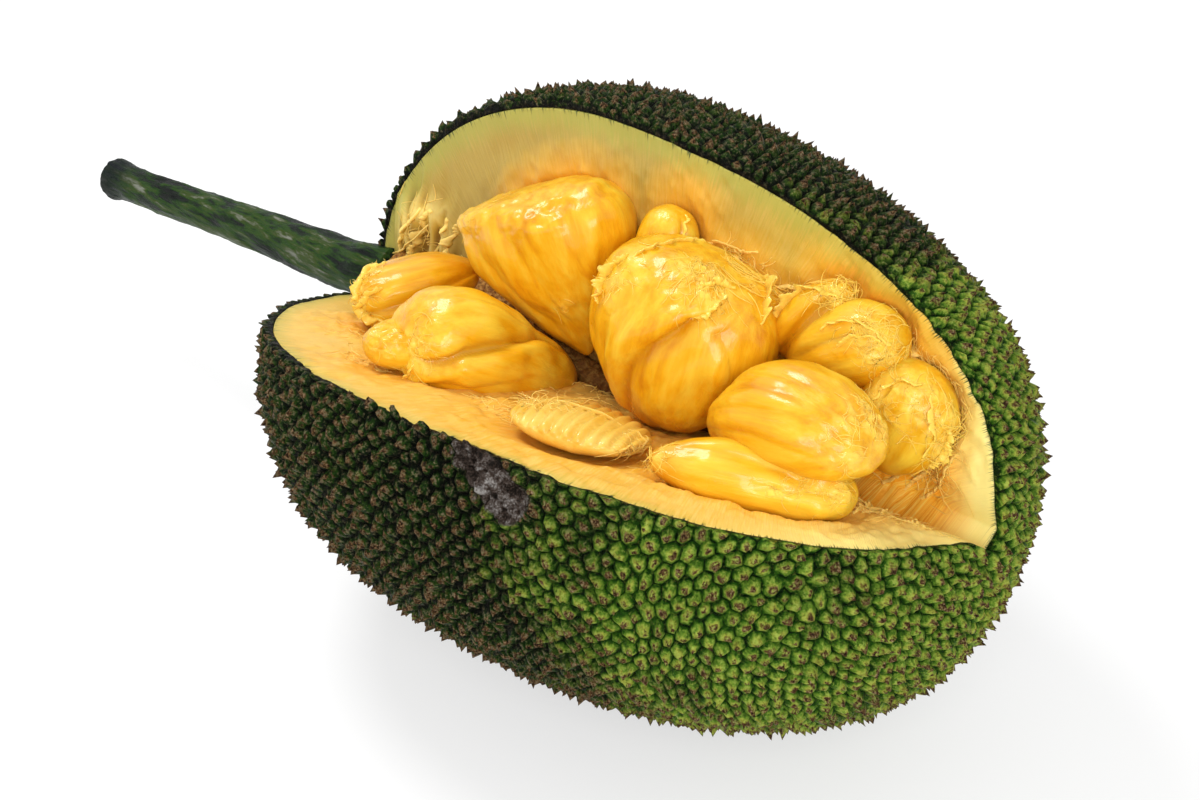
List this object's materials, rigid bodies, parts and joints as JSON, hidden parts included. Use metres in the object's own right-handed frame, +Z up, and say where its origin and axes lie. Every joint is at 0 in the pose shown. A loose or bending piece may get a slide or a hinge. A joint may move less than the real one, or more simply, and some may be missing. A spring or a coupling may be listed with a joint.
{
  "type": "jackfruit",
  "caption": "Ripe jackfruit on its side, stalk still on, with a wedge cut out of its spiny green rind to show the pale flesh, the fibrous core and the glossy yellow fruit bulbs.",
  "frame": {"origin": "middle of the flat spot that the fruit rests on", "axes": "+X from the stalk end to the blossom end, +Y away from the cut's open front, +Z up"},
  "size_m": [0.5479, 0.2623, 0.2273],
  "materials": {
    "rind": "rough green spines with brown tips",
    "flesh": "moist pale cream-yellow fibre",
    "core": "granular tan fibre",
    "stalk": "smooth dark green bark with pale streaks",
    "bulb": "moist glossy orange-yellow",
    "husk": "moist pale yellow"
  },
  "bodies": {
    "root": {"rind": "rind", "flesh": "flesh", "core": "core", "stem": "stalk", "bulb_1": "bulb", "bulb_2": "bulb", "bulb_3": "bulb", "bulb_4": "bulb", "bulb_5": "bulb", "bulb_6": "bulb", "bulb_7": "bulb", "bulb_8": "bulb", "bulb_9": "bulb", "bulb_10": "bulb", "bulb_11": "bulb", "husk": "husk"}
  },
  "joints": []
}
